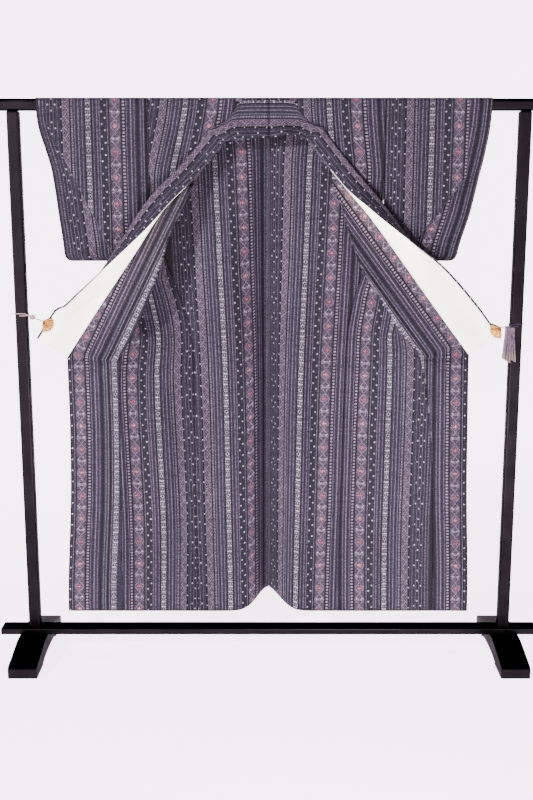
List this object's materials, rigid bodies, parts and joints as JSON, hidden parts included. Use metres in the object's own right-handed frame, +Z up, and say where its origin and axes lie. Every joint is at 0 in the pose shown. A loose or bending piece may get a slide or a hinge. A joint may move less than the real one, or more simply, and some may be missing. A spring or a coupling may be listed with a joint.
{
  "type": "tsumugi kimono on a lacquered kimono stand",
  "caption": "Unlined kimono hung open over the top rail of a black lacquered stand, its wide collar clipped out to the posts.",
  "frame": {"origin": "floor under the middle of the stand", "axes": "+Z up, +X along the rail to the right seen from the front, the front faces -Y"},
  "size_m": [1.74, 0.434, 1.7525],
  "materials": {
    "kimono_cloth": "matte",
    "collar_lining": "matte",
    "lacquered_wood": "gloss",
    "gilt_clip": "satin",
    "pink_cord": "satin",
    "purple_cord": "satin"
  },
  "bodies": {
    "root": {"back_left": "kimono_cloth", "back_right": "kimono_cloth", "front_left": "kimono_cloth", "front_right": "kimono_cloth", "okumi_left": "kimono_cloth", "okumi_right": "kimono_cloth", "sleeve_left": "kimono_cloth", "sleeve_right": "kimono_cloth", "collar_left": "kimono_cloth", "collar_right": "kimono_cloth", "collar_lining_left": "collar_lining", "collar_lining_right": "collar_lining", "top_rail": "lacquered_wood", "bottom_rail": "lacquered_wood", "post_left": "lacquered_wood", "post_right": "lacquered_wood", "foot_left": "lacquered_wood", "foot_right": "lacquered_wood", "clip_left": "gilt_clip", "clip_right": "gilt_clip", "cord_left": "pink_cord", "knot_left": "pink_cord", "cord_right": "purple_cord", "tassel_right": "purple_cord"}
  },
  "joints": []
}
